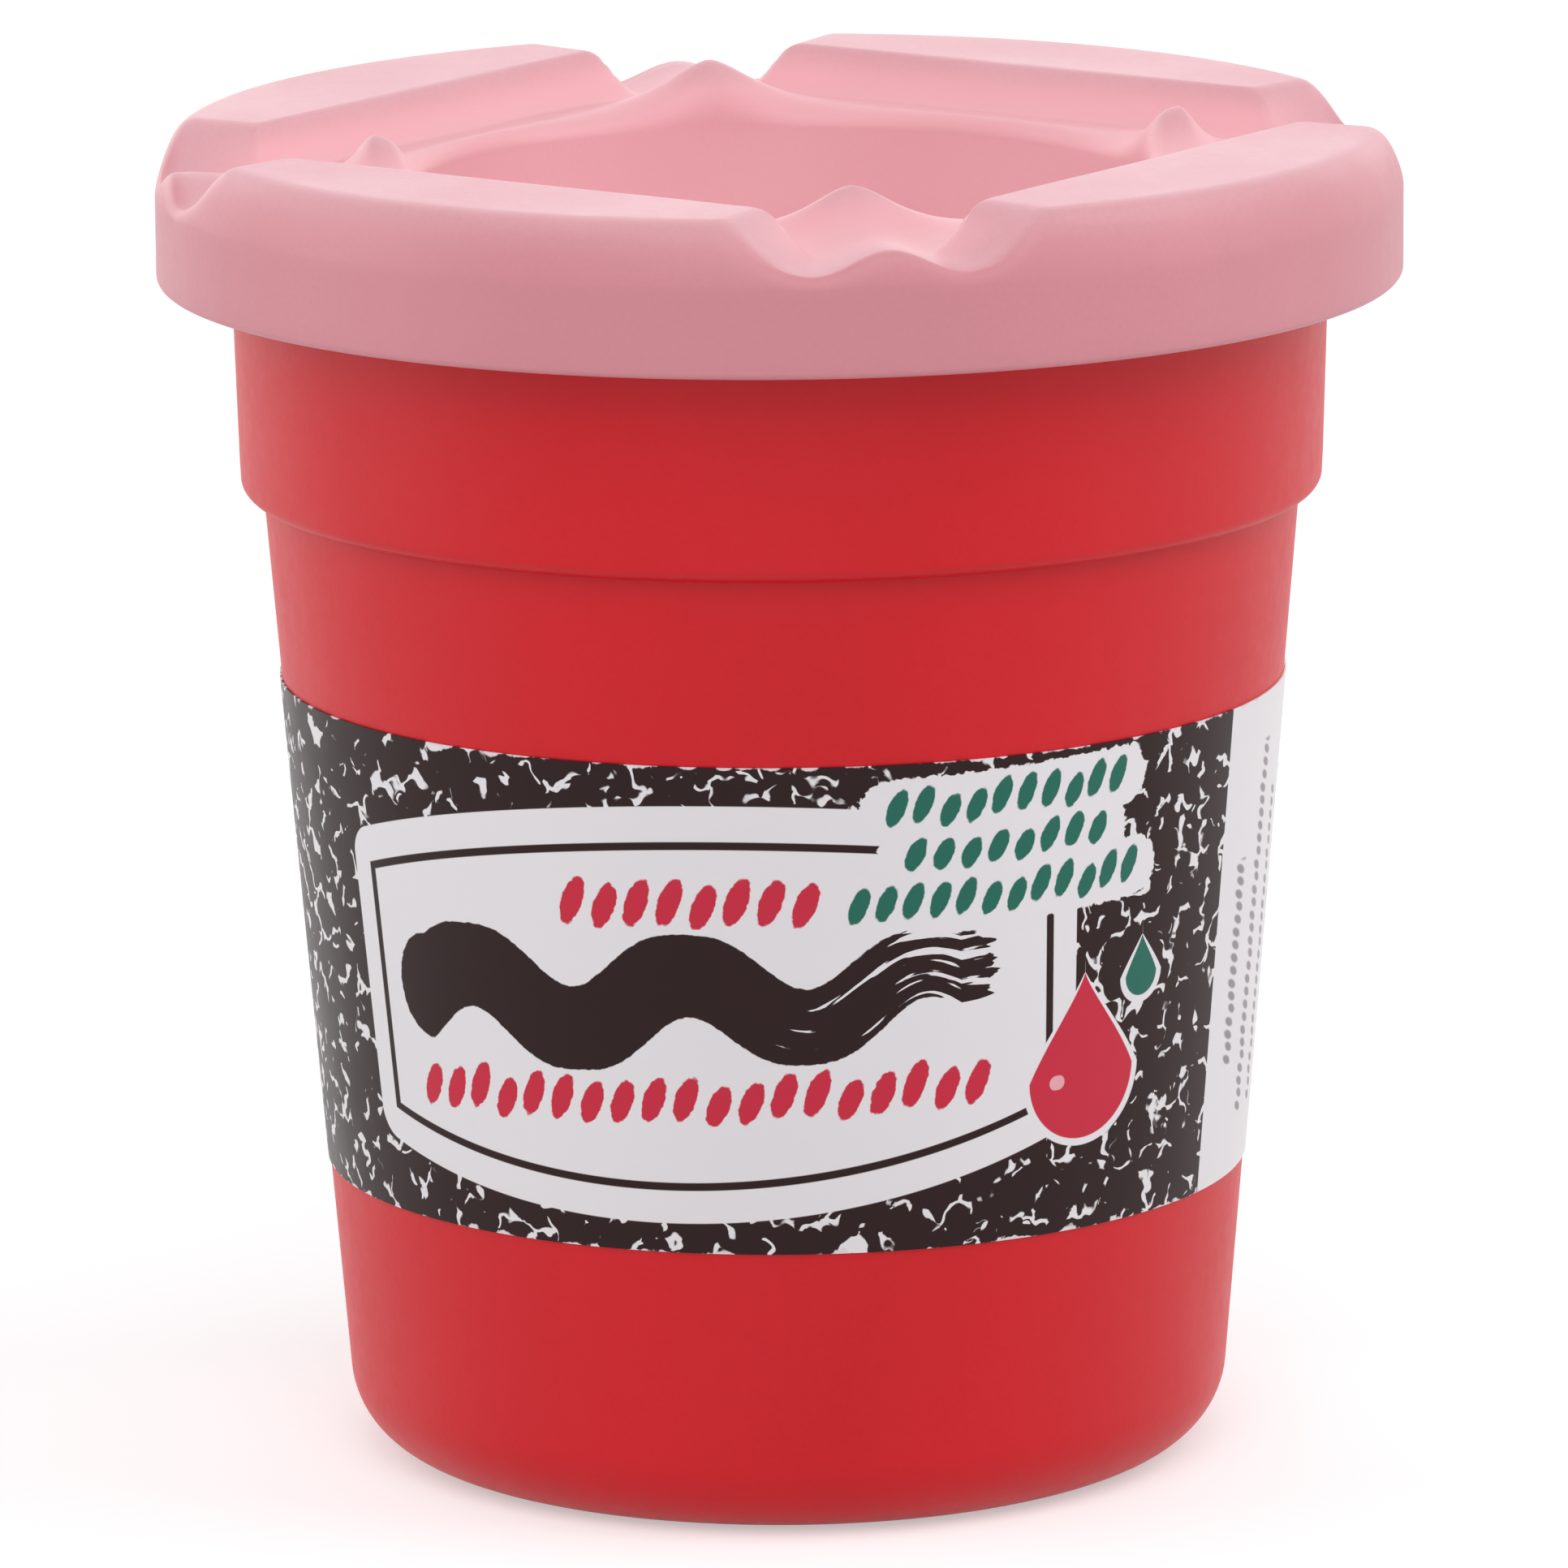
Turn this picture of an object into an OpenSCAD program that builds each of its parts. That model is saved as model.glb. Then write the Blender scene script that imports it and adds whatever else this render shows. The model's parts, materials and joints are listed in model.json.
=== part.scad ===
// Paint cup with a push-on no-spill lid, in millimetres, +Z up.
// The origin is the middle of the face that the cup stands on, and the front is towards -Y.
// The cup is a thin tapered beaker with a stacking shoulder and an out-turned rim.
// The lid drops its skirt over that rim and its plug ring into the mouth. Its top is a crown of
// four raised segments, with a notch of two brush channels between each pair, and its middle
// dips as a funnel that keeps the paint in when the cup falls over.

/* [Cup body] */
// Height of the cup, to the top of its rim
cup_height = 77.3; // [74:0.1:88]
// Width that the sloping side would have at the ground, before the base is rounded
base_diameter = 53.4; // [50:0.1:58]
// Slope of the lower side away from upright, in degrees
side_draft = 4.76; // [3.5:0.01:6]
// Thickness of the side wall
wall = 1.5; // [1:0.1:2]
// Thickness of the floor
floor_thickness = 1.6; // [1.2:0.1:3]
// Radius of the rounding between the base and the side
base_round = 5.3; // [3.5:0.1:7]
// Width of the ring that the cup stands on
foot_width = 3.2; // [2:0.1:6]
// Depth of the hollow inside that ring
foot_recess = 0.8; // [0.4:0.1:1.2]

/* [Shoulder and rim] */
// Height of the stacking shoulder above the ground
shoulder_height = 60; // [56:0.1:64]
// Distance that the shoulder steps outwards
shoulder_step = 1.35; // [0.8:0.05:2]
// Radius of the shoulder's lower edge
shoulder_round = 0.8; // [0.3:0.1:0.8]
// Slope of the band above the shoulder, in degrees
band_draft = 1.7; // [0.5:0.1:3]
// Distance that the rim stands out from the band
rim_overhang = 2.34; // [1.8:0.01:3.2]
// Thickness of the rim
rim_thickness = 1.8; // [1.4:0.1:2.2]
// Radius of the rim's edges
rim_round = 0.5; // [0.2:0.1:0.6]

/* [Lid shell] */
// Distance that the skirt hangs below the top of the cup's rim
skirt_drop = 4.3; // [3.9:0.1:6]
// Thickness of the skirt
skirt_wall = 1.6; // [1.2:0.1:2.2]
// Thickness of the lid between the cup's rim and the floor of a brush channel
deck_thickness = 1.7; // [1.5:0.1:2.2]
// Length of the plug ring that hangs into the cup's mouth
plug_length = 6.3; // [4:0.1:10]
// Thickness of the plug ring
plug_wall = 1.3; // [1:0.1:1.8]
// Turn of the lid on the cup, in degrees
lid_turn = 10; // [-45:1:45]

/* [Fit of the lid] */
// Gap between the cup's rim and the inside of the skirt
rim_play = 0.55; // [0.4:0.05:0.8]
// Gap between the cup's rim and the snap bead inside the skirt
bead_play = 0.2; // [0.15:0.05:0.3]
// Gap between the plug ring and the cup's mouth
plug_play = 0.3; // [0.2:0.05:0.5]

/* [Crown of brush rests] */
// Height of the raised segments above the floor of the brush channels
segment_rise = 3.3; // [2.4:0.05:3.8]
// Distance from the funnel's edge to the straight inner edge of a segment
recess_width = 3.15; // [2.4:0.05:3.8]
// Width over which the wall under that straight edge curves down to the ledge
recess_run = 3.1; // [2:0.1:3.8]
// Height of the ledge round the funnel above the floor of the brush channels
ledge_rise = 0.4; // [0.2:0.05:0.8]
// Distance outwards over which that ledge dies away
ledge_run = 5; // [3:0.5:8]
// Distance between the two channels of a notch
channel_spacing = 9.2; // [8:0.1:10]
// Width of a notch at the inner corners of its segments
notch_inner_width = 12.2; // [11.6:0.1:14]
// Width of a notch at the edge of the lid
notch_outer_width = 20.4; // [17:0.1:22]
// Width between the feet of a notch's walls, at the inner corners
inner_foot_width = 6; // [5:0.1:8]
// Width between the feet of those walls, at the edge of the lid
outer_foot_width = 9; // [8:0.1:10]
// Height of the ridge between two channels, at the edge of the lid
ridge_rise = 1.4; // [1:0.05:2]
// Height of that ridge where it sags, half way to the funnel
saddle_rise = 1; // [0.6:0.05:1.4]
// Height of the peak where the ridge meets the funnel
peak_rise = 3.35; // [2.4:0.05:4]
// Distance along the funnel's edge over which a peak dies away
peak_spread = 3.8; // [2.6:0.1:4.5]
// Distance outwards over which a peak dies away
peak_length = 1.5; // [1:0.1:2.5]
// Width of the rounded bevel around the top
bevel_width = 2.3; // [1.6:0.1:2.8]
// Height of the skirt's upright face above the top of the cup's rim
bevel_start = 1.1; // [1:0.05:1.3]
// Softness of the edge between the top or a channel and the bevel
bevel_soft = 1.6; // [1:0.1:2.2]

/* [Funnel] */
// Width of the funnel's mouth, between two segments
mouth_diameter = 46.4; // [44:0.1:48]
// Distance that the funnel's edge bulges outwards at each peak
mouth_bulge = 1.7; // [0.8:0.1:2.2]
// Distance inwards from the funnel's edge to the start of its straight cone
lip_roll = 0.8; // [0.4:0.1:1.5]
// Width of the round hole at the bottom of the funnel
throat_diameter = 28; // [22:0.5:32]
// Length of that hole
throat_length = 4; // [2:0.5:6]
// Depth of the funnel below the top of the cup's rim
funnel_depth = 33.3; // [24:0.1:42]
// Thickness of the funnel's wall
funnel_wall = 1.5; // [1:0.1:2]

/* [Label] */
// Height of the label's lower edge above the ground
label_bottom = 18.3; // [14:0.1:24]
// Height of the label's upper edge above the ground
label_top = 48.5; // [42:0.1:54]
// Thickness of the label
label_thickness = 0.12; // [0.08:0.01:0.2]
// Part of the way round that the label covers, in degrees
label_wrap = 352; // [300:1:356]
// Place of the middle of the label's gap, in degrees from the back of the cup
label_turn = -8; // [-45:1:45]

/* [Hidden] */
// Overlap of parts of one solid, and the reach of a cut past a face
bite = 0.2;
// Gap under the label, which keeps its curved face out of the cup's
label_gap = 0.02;

// Fineness of round parts, of a rounded edge, and of the crown
$fn = 96;
arc_steps = 10;
half_columns = 16;
fine_columns = 11;
fine_angle = 17;
bevel_rings = 5;
segment_rings = 4;
inner_rings = 11;
roll_rings = 3;

// Radii of the cup's outside at the ground, at the shoulder and at the rim
base_r = base_diameter / 2;
side_slope = tan(side_draft);
band_slope = tan(band_draft);
band_r = base_r + side_slope * shoulder_height + shoulder_step;
rim_bottom = cup_height - rim_thickness;
rim_r = band_r + band_slope * (rim_bottom - shoulder_height) + rim_overhang;
inner_floor = foot_recess + floor_thickness;

// Radii and heights of the lid
skirt_in_r = rim_r + rim_play;
lid_r = skirt_in_r + skirt_wall;
skirt_bottom = cup_height - skirt_drop;
bead_r = rim_r + bead_play;
bead_z = (skirt_bottom + rim_bottom) / 2 - 0.1;
bead_half = 0.55;
edge_chamfer = 0.4;
plug_bottom = cup_height - plug_length;
plug_r = mouth_r(plug_bottom) - plug_play;
channel_z = cup_height + deck_thickness;
shell_top = cup_height + 0.9;
cone_r = mouth_diameter / 2 - lip_roll;
throat_r = throat_diameter / 2;
throat_bottom = cup_height - funnel_depth;
throat_top = throat_bottom + throat_length;
cone_slope = (cone_r - throat_r) / (shell_top - throat_top);
cone_shift = funnel_wall * sqrt(1 + cone_slope * cone_slope);

// How the crown's slopes bend: powers of the bevel, of the walls and of the peaks, and the
// softness of the edges between them
bevel_top_power = 1.7;
bevel_foot_power = 1.3;
straight_power = 3;
notch_power = 1.2;
notch_hollow = 0.7;
peak_power = 1.3;
blend_power = 2.5;
corner_soft = 0.8;
top_soft = 0.85;

// Plan of the crown: the funnel's edge, the segments' straight edges and the notches
lip_r = mouth_diameter / 2;
chord = lip_r + recess_width;
bevel_in_r = lid_r - bevel_width;
channel_off = channel_spacing / 2;
bevel_swell = 1.4;
corner_along = chord * sqrt(2) - notch_inner_width / 2;
notch_length = lid_r - 1.3 - corner_along;
flare = (notch_outer_width - notch_inner_width) / 2 / notch_length;
crown_inset = 0.03;
tip_round = 0.055;
pocket_wall = 1.2;
pocket_out_r = skirt_in_r - 0.7;
pocket_top = channel_z + segment_rise - 1.6;
ring_margin = 0.3;

// Outside radius of the sloping side and inside radius of the mouth, at a height
function side_r(z) = base_r + side_slope * z;
function mouth_r(z) = band_r + band_slope * (z - shoulder_height) - wall;

// Points of an arc about a centre, from one angle to another
function arc(centre, radius, from, to, steps = arc_steps) =
    [for (i = [0:steps]) let (a = from + (to - from) * i / steps)
        centre + radius * [cos(a), sin(a)]];

// Centre of a rounding that touches a flat at a height and the inside of a sloping line
function tuck(line_r, slope, draft, flat, radius) =
    [line_r + slope * (flat + radius) - radius / cos(draft), flat + radius];

// Half of the cup's section, outside first and then inside
module cup_section() {
    foot_r = tuck(base_r, side_slope, side_draft, 0, base_round).x;
    recess_r = foot_r - foot_width;
    shoulder_r = side_r(shoulder_height);
    edge_r = band_r - shoulder_round;
    in_round = max(0.5, base_round - wall);
    in_base_r = base_r - wall / cos(side_draft);
    step_z = shoulder_height + wall;
    polygon(concat(
        [[0, foot_recess], [recess_r - foot_recess, foot_recess], [recess_r, 0]],
        arc([foot_r, base_round], base_round, -90, -side_draft),
        [[shoulder_r, shoulder_height]],
        arc([edge_r, shoulder_height + shoulder_round], shoulder_round, -90, 0, 6),
        [[rim_r - rim_overhang, rim_bottom - rim_round]],
        [[rim_r - rim_overhang + rim_round, rim_bottom]],
        arc([rim_r - rim_round, rim_bottom + rim_round], rim_round, -90, 0, 5),
        arc([rim_r - rim_round, cup_height - rim_round], rim_round, 0, 90, 5),
        arc([mouth_r(cup_height) + rim_round, cup_height - rim_round], rim_round, 90, 180, 5),
        [[mouth_r(step_z + shoulder_step), step_z + shoulder_step]],
        [[side_r(step_z) - wall / cos(side_draft), step_z]],
        arc(tuck(in_base_r, side_slope, side_draft, inner_floor, in_round), in_round,
            -side_draft, -90),
        [[0, inner_floor]]
    ));
}

module cup() {
    color([0.81, 0.13, 0.17])
        rotate_extrude() cup_section();
}

// The printed label: a thin sleeve on the sloping side, with a narrow gap at the back
module label() {
    inner = label_gap;
    outer = label_gap + label_thickness;
    color([0.87, 0.85, 0.86])
        rotate([0, 0, 90 + label_turn + (360 - label_wrap) / 2])
            rotate_extrude(angle = label_wrap)
                polygon([
                    [side_r(label_bottom) + inner, label_bottom],
                    [side_r(label_bottom) + outer, label_bottom],
                    [side_r(label_top) + outer, label_top],
                    [side_r(label_top) + inner, label_top]
                ]);
}

// Half of the section of the lid's skirt, deck, plug ring and funnel
module lid_section() {
    polygon([
        [lid_r - edge_chamfer, skirt_bottom],
        [lid_r, skirt_bottom + edge_chamfer],
        [lid_r, shell_top],
        [cone_r, shell_top],
        [throat_r, throat_top],
        [throat_r, throat_bottom],
        [throat_r + cone_shift, throat_bottom],
        [throat_r + cone_shift, throat_top],
        [cone_r - cone_slope * (shell_top - cup_height) + cone_shift, cup_height],
        [plug_r - plug_wall, cup_height],
        [plug_r - plug_wall, plug_bottom],
        [plug_r - edge_chamfer, plug_bottom],
        [plug_r, plug_bottom + 2 * edge_chamfer],
        [plug_r, cup_height],
        [skirt_in_r, cup_height],
        [skirt_in_r, bead_z + bead_half],
        [bead_r, bead_z],
        [skirt_in_r, bead_z - bead_half],
        [skirt_in_r, skirt_bottom]
    ]);
}

// Blends: the lower of two heights with a rounded corner, and the higher of two heights that
// are never below zero
function soft_min(a, b, k) = let (h = max(k - abs(a - b), 0) / k) min(a, b) - h * h * k / 4;
function join_max(a, b) = pow(pow(a, blend_power) + pow(b, blend_power), 1 / blend_power);

// Plan radii at an angle from the nearest notch: the funnel's edge and a segment's straight edge
function edge_r(a) = lip_r + mouth_bulge * (1 + cos(4 * a)) / 2;
function chord_r(a) = min(chord / cos(45 - abs(a)), bevel_in_r - 0.4);

// Height of a raised segment over the channel floor, from its straight wall and its notch wall.
// The notch wall is an even slope at the inner corner, and grows hollow towards the rim.
function segment_height(along, across) =
    let (inwards = (along + across) / sqrt(2) - chord,
         out = max(0, min(1, (along - corner_along) / notch_length)),
         half = (notch_inner_width + (notch_outer_width - notch_inner_width) * out) / 2,
         foot = (inner_foot_width + (outer_foot_width - inner_foot_width) * out) / 2,
         straight = segment_rise * pow(max(0, 1 + inwards / recess_run), straight_power),
         power = notch_power + notch_hollow * out,
         side = segment_rise * pow(max(0, (across - foot) / (half - foot)), power))
    max(0, soft_min(soft_min(straight, side, corner_soft), segment_rise, top_soft));

// Height of the ridge between the channels of a notch, which sags before the peak
function ridge_height(along, across) =
    let (out = max(0, min(1, (along - corner_along) / (bevel_in_r - corner_along))),
         crest = saddle_rise + (ridge_rise - saddle_rise) * out)
    across < channel_off ? crest * (1 + cos(180 * across / channel_off)) / 2 : 0;

// Height of the ledge round the funnel and of the peak that stands on it at each notch
function lip_height(r, a) =
    let (outwards = max(0, r - edge_r(a)),
         sideways = r * a * PI / 180,
         away = norm([sideways / peak_spread, outwards / peak_length, tip_round]) - tip_round)
    ledge_rise * exp(-pow(outwards / ledge_run, 2))
        + (peak_rise - ledge_rise) * exp(-pow(away, peak_power));

// Height of the rounded bevel around the crown, over the channel floor
function bevel_height(r) =
    let (out = max(0, min(1, (r - bevel_in_r) / bevel_width)),
         fall = pow(1 - pow(out, bevel_top_power), 1 / bevel_foot_power))
    bevel_start - deck_thickness + (segment_rise + bevel_swell) * fall;

// Height of the crown above the ground, at a radius and an angle from the nearest notch
function crown_z(r, a) =
    let (along = r * cos(a), across = r * abs(sin(a)),
         rest = join_max(ridge_height(along, across), lip_height(r, a)),
         height = join_max(segment_height(along, across), rest))
    channel_z + soft_min(height, bevel_height(r), bevel_soft);

// Angles of the crown's columns from a notch line, close together across the notch
function column_angle(i) =
    sign(i) * lookup(abs(i), [[0, 0], [fine_columns, fine_angle], [half_columns, 45]]);

// Section of the crown at an angle from a notch line, as radius and height
function crown_column(a) =
    let (outer = lid_r - crown_inset,
         floor_z = shell_top - bite,
         top = edge_r(a),
         base = cone_r + crown_inset,
         lip_z = crown_z(top, a))
    concat(
        [[outer, floor_z]],
        [for (i = [0:bevel_rings])
            let (r = min(outer, bevel_in_r + bevel_width * pow(cos(75 * i / bevel_rings), 4 / 3)))
            [r, crown_z(r, a)]],
        [for (i = [segment_rings - 1:-1:0])
            let (r = chord_r(a) + (bevel_in_r - chord_r(a)) * i / segment_rings)
            [r, crown_z(r, a)]],
        [for (i = [inner_rings - 1:-1:0])
            let (r = top + (chord_r(a) - top) * pow(i / inner_rings, 1.3))
            [r, crown_z(r, a)]],
        [for (i = [1:roll_rings])
            let (t = 90 * i / roll_rings)
            [top - (top - base) * sin(t), lip_z - (lip_z - floor_z) * (1 - cos(t))]]
    );

// The crown as one closed skin of rings and columns
module crown() {
    angles = [for (q = [0:3], i = [-half_columns:half_columns - 1])
        [90 * q + column_angle(i), column_angle(i)]];
    sections = [for (a = angles) crown_column(a[1])];
    columns = len(angles);
    rings = len(sections[0]);
    points = [for (c = [0:columns - 1], p = sections[c])
        [p.x * cos(angles[c][0]), p.x * sin(angles[c][0]), p.y]];
    faces = [for (c = [0:columns - 1], k = [0:rings - 1])
        let (d = (c + 1) % columns, n = (k + 1) % rings,
             here = c * rings + k, up = c * rings + n,
             side = d * rings + k, far = d * rings + n)
        each [[here, up, far], [here, far, side]]];
    polyhedron(points, faces);
}

// Plan of the hollow under one segment, with the segment's middle along +X
module pocket_plan() {
    in_along = (chord + pocket_wall) * sqrt(2) - notch_inner_width / 2 - pocket_wall;
    in_across = notch_inner_width / 2 + pocket_wall;
    out_across = in_across + flare * (lid_r - corner_along);
    corner = [in_along + in_across, in_along - in_across] / sqrt(2);
    end = [lid_r + out_across, lid_r - out_across] / sqrt(2);
    difference() {
        intersection() {
            circle(pocket_out_r);
            polygon([
                [corner.x, -corner.y],
                [end.x, -end.y],
                [lid_r + 1, -end.y],
                [lid_r + 1, end.y],
                [end.x, end.y],
                [corner.x, corner.y]
            ]);
        }
        difference() {
            circle(plug_r + ring_margin);
            circle(plug_r - plug_wall - ring_margin);
        }
    }
}

module lid() {
    color([0.93, 0.62, 0.68])
        rotate([0, 0, lid_turn - 90])
            difference() {
                union() {
                    rotate_extrude() lid_section();
                    crown();
                }
                for (q = [0:3])
                    rotate([0, 0, 45 + 90 * q])
                        translate([0, 0, cup_height - bite])
                            linear_extrude(height = pocket_top - cup_height + bite)
                                pocket_plan();
            }
}

cup();
label();
lid();
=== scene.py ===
# %% [markdown]
# # A paint cup with a push-on lid
# The object is three real pieces: a red moulded cup, a printed label wrapped round it, and a pink
# moulded lid whose crown holds brushes. The frame below is the engineering model: it says how
# big each piece is and which body it moves with. This lesson makes the pieces that are seen,
# each in the place that the frame gives it, so nothing has to be fitted afterwards.

# %% Load the frame and read its sizes
import json
import math

import bpy
import numpy as np
from mathutils import Euler, Matrix, Vector


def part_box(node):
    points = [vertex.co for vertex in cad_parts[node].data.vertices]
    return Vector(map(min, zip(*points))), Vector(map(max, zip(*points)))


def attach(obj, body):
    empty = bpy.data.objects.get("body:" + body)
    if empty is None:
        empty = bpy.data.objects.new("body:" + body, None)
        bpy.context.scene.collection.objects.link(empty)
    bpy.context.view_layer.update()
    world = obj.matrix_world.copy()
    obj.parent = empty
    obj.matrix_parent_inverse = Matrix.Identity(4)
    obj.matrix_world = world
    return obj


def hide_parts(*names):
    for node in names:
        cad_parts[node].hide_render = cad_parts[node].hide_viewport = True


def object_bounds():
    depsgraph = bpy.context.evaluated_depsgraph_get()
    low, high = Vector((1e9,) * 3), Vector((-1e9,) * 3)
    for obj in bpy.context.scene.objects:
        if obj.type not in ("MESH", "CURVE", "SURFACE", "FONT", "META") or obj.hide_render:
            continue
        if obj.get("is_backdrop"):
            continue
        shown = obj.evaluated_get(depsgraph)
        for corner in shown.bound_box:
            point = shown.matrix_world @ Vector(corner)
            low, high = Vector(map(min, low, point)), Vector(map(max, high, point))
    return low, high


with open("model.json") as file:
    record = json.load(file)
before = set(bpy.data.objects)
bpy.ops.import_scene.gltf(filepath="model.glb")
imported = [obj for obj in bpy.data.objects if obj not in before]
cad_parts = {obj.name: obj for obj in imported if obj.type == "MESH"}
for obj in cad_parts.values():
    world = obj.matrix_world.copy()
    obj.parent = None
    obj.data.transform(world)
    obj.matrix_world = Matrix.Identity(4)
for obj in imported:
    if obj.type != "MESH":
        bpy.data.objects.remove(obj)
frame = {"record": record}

MM = 0.001
cad_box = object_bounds()


def reach(node):
    """Outer radius, lowest height and highest height of a node, in millimetres."""
    low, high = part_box(node)
    return (high.x - low.x) / 2 / MM, low.z / MM, high.z / MM


rim_r, _, cup_height = reach("cup")
lid_r, throat_bottom, crown_top = reach("lid")
label_r, label_bottom, label_top = reach("label")
print(f"cup: rim radius {rim_r:.2f} mm, height {cup_height:.2f} mm")
print(f"lid: radius {lid_r:.2f} mm, from {throat_bottom:.2f} to {crown_top:.2f} mm")
print(f"label: from {label_bottom:.2f} to {label_top:.2f} mm")

# %% [markdown]
# ## The camera
# The photograph was taken from the front, a little above the rim, with a long lens: the two sides
# of the cup lean in only slightly more than they really taper. A long lens from far away keeps
# the ovals flat in the same way, so the camera stands ten object-widths off. A small roll
# copies the slight lean of the picture.

# %% Place the camera
camera_back = 773.7
camera_height = 205.2
camera_pitch = 0.2091
camera_roll = -0.0081
camera_lens = 295.24

camera = bpy.data.objects.new("camera", bpy.data.cameras.new("camera"))
camera.data.lens = camera_lens
camera.data.sensor_width = 36
camera.data.clip_end = 20
camera.matrix_world = (
    Matrix.Translation(Vector((0, -camera_back, camera_height)) * MM)
    @ Euler((math.pi / 2 - camera_pitch, 0, 0)).to_matrix().to_4x4()
    @ Matrix.Rotation(camera_roll, 4, "Z")
)
bpy.context.scene.collection.objects.link(camera)
bpy.context.scene.camera = camera
bpy.context.scene.view_settings.view_transform = "Standard"
print(f"camera: {camera_back:.0f} mm in front, {math.degrees(camera_pitch):.1f} degrees down")

# %% [markdown]
# ## A surface as a sum
# Every finish below is worked out by shader nodes, so it has no pixels and stays sharp close up.
# Long node trees are hard to read as clicks or as lists of links. A small class that turns
# ordinary sums into Math nodes keeps them readable: `a * 2 + b` makes two nodes and wires them.


# %% Write shader nodes as sums
def plug(tree, value, socket):
    """Feed a socket with a field, or set it to a plain number or colour."""
    if isinstance(value, Field):
        tree.links.new(value.socket, socket)
    else:
        socket.default_value = value


class Field:
    """A value that varies over a surface, made by shader nodes."""

    def __init__(self, tree, socket):
        self.tree = tree
        self.socket = socket

    def do(self, operation, *others, first=None):
        node = self.tree.nodes.new("ShaderNodeMath")
        node.operation = operation
        values = (self, *others) if first is None else (first, self)
        for socket, value in zip(node.inputs, values):
            plug(self.tree, value, socket)
        return Field(self.tree, node.outputs[0])

    def __add__(self, other):
        return self.do("ADD", other)

    def __sub__(self, other):
        return self.do("SUBTRACT", other)

    def __mul__(self, other):
        return self.do("MULTIPLY", other)

    def __truediv__(self, other):
        return self.do("DIVIDE", other)

    def __rsub__(self, number):
        return self.do("SUBTRACT", first=number)

    __radd__ = __add__
    __rmul__ = __mul__

    def least(self, other):
        return self.do("MINIMUM", other)

    def most(self, other):
        return self.do("MAXIMUM", other)

    def within(self, low, high):
        return self.most(low).least(high)

    def inside(self, softness=0.04):
        """1 where the field is below zero, 0 where it is above, with a narrow soft edge."""
        node = self.tree.nodes.new("ShaderNodeMapRange")
        node.interpolation_type = "SMOOTHSTEP"
        for name, value in {
            "Value": self, "From Min": -softness, "From Max": softness, "To Min": 1, "To Max": 0
        }.items():
            plug(self.tree, value, node.inputs[name])
        return Field(self.tree, node.outputs[0])


print("fields: sums of shader nodes")


# %% Take a place apart
def length_of(a, b):
    """Distance from zero of a place given by its two numbers."""
    return (a * a + b * b).do("SQRT")


def parts(place):
    """The three numbers of a place, each as a field."""
    node = place.tree.nodes.new("ShaderNodeSeparateXYZ")
    plug(place.tree, place, node.inputs[0])
    return [Field(place.tree, node.outputs[axis]) for axis in "XYZ"]


print("places: X, Y and Z, and the length of two of them")

# %% [markdown]
# ## Noise at a real size
# Grain, colour drift and the marbling of the label are all noise, and noise only looks right at
# the right size. These helpers work in millimetres, so a grain of 0.3 is 0.3 mm on the cup.
# The cup and the lid read the place in their own mesh, so the finish moves with the piece. The
# label reads a flat map of itself, because its print was made flat and then wrapped.


# %% Make noise in millimetres
def place_on_piece(tree):
    """The place in the piece's own frame, in millimetres."""
    place = tree.nodes.new("ShaderNodeTexCoord").outputs["Object"]
    scale = tree.nodes.new("ShaderNodeVectorMath")
    scale.operation = "SCALE"
    scale.inputs["Scale"].default_value = 1 / MM
    tree.links.new(place, scale.inputs[0])
    return Field(tree, scale.outputs[0])


def noise(place, size, detail=2.0, flat=False, colour=False):
    """Cloudy noise, around 0.5, whose lumps are about the given size in millimetres."""
    node = place.tree.nodes.new("ShaderNodeTexNoise")
    node.noise_dimensions = "2D" if flat else "3D"
    plug(place.tree, place, node.inputs["Vector"])
    node.inputs["Scale"].default_value = 1 / size
    node.inputs["Detail"].default_value = detail
    return Field(place.tree, node.outputs["Color" if colour else "Fac"])


print("noise: sizes in millimetres")


# %% Shift, bend and blend
def shifted(place, by, scale=(1, 1, 1)):
    """The place moved by fixed millimetres, and stretched."""
    node = place.tree.nodes.new("ShaderNodeVectorMath")
    node.operation = "MULTIPLY_ADD"
    plug(place.tree, place, node.inputs[0])
    node.inputs[1].default_value = scale
    node.inputs[2].default_value = by
    return Field(place.tree, node.outputs[0])


def warped(place, size, push):
    """The place pushed about by up to half of push, in lumps of the given size."""
    drift = noise(place, size, detail=1, flat=True, colour=True)
    centred = shifted(drift, (-push / 2, -push / 2, 0), (push, push, 0))
    node = place.tree.nodes.new("ShaderNodeVectorMath")
    plug(place.tree, place, node.inputs[0])
    plug(place.tree, centred, node.inputs[1])
    return Field(place.tree, node.outputs[0])


def blend(mask, below, above):
    """One colour laid over another where the mask is 1."""
    node = mask.tree.nodes.new("ShaderNodeMix")
    node.data_type = "RGBA"
    plug(mask.tree, mask, node.inputs["Factor"])
    plug(mask.tree, below, node.inputs["A"])
    plug(mask.tree, above, node.inputs["B"])
    return Field(mask.tree, node.outputs["Result"])


print("places can be shifted and bent, colours blended by a mask")

# %% [markdown]
# ## Moulded plastic
# Both mouldings are matte polypropylene. Up close the mould leaves a fine grain, and the colour
# drifts a little where the melt flowed. The grain is bump, at two sizes. The colour shifts by a
# few parts in a hundred, and the sheen is uneven in the same way. The lid's crown is painted
# paler than its skirt, a painted top light where light falls from above, and its walls, notches
# and funnel are painted paler and warmer still, a painted glow for the light that bounces about
# in the hollows and shines through the thin pink walls. Two more colours, blended in by the
# distance from the axis and the height, paint that light in. One function makes both finishes,
# because the same process made both pieces.


# %% Start a material
def new_material(name):
    """A material with its node tree and its one shader."""
    material = bpy.data.materials.new(name)
    material.use_nodes = True
    tree = material.node_tree
    shader = tree.nodes["Principled BSDF"]
    return material, tree, shader


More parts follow.
